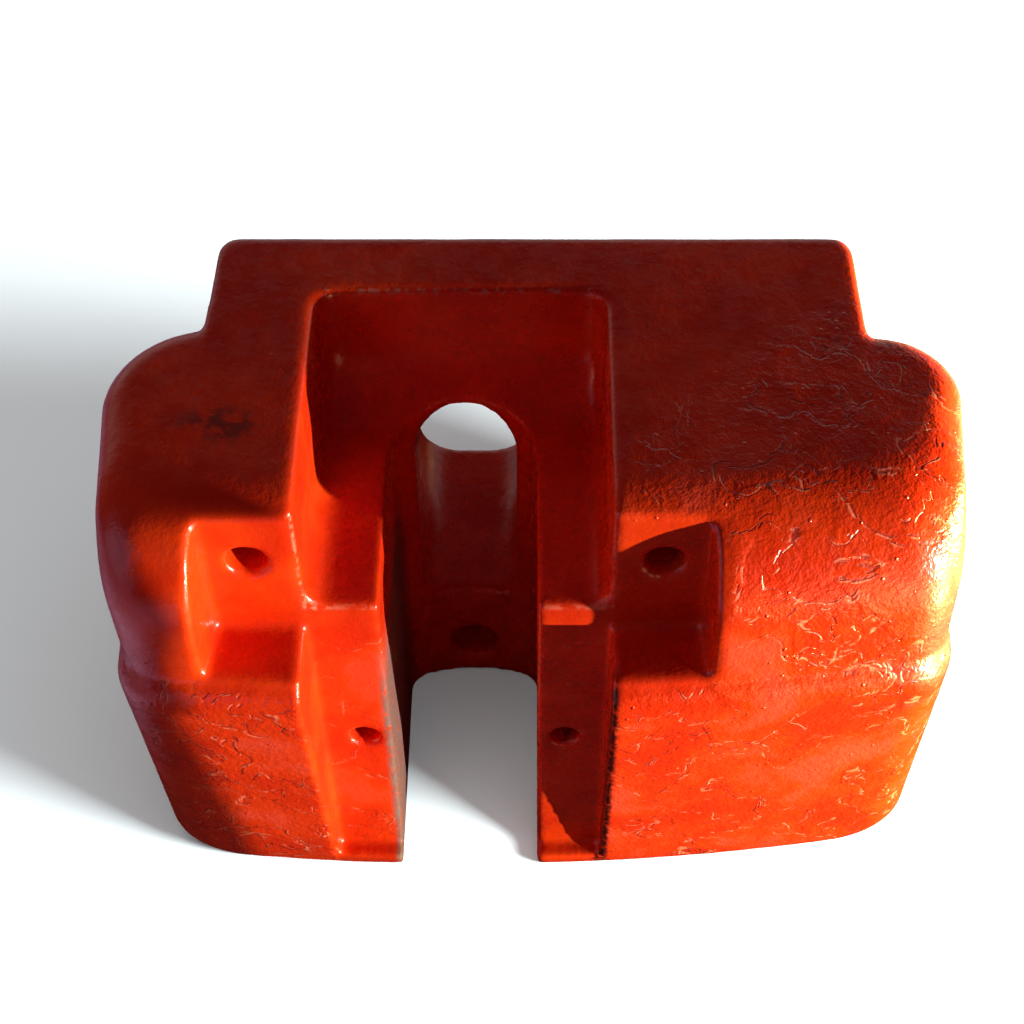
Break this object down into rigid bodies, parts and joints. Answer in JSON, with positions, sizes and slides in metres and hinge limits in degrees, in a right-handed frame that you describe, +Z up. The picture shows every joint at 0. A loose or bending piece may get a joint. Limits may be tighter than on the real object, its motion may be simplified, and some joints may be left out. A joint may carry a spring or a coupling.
{
  "type": "telehandler ballast weight",
  "caption": "One-piece painted cast-iron rear ballast block with rounded shoulders, a stepped bolting bay, a central hitch slot and a tunnel through its rear wall.",
  "frame": {"origin": "centre of the bounding box's footprint, on the ground under the casting", "axes": "+Z up as it stands on its foot, +X along its width, -Y towards the side with the bolting bay and hitch slot"},
  "size_m": [0.7412, 0.4848, 0.527],
  "materials": {
    "red_enamel": "thick glossy red enamel over rough cast iron, blistered and cracked in places"
  },
  "bodies": {
    "root": {"ballast_casting": "red_enamel"}
  },
  "joints": []
}
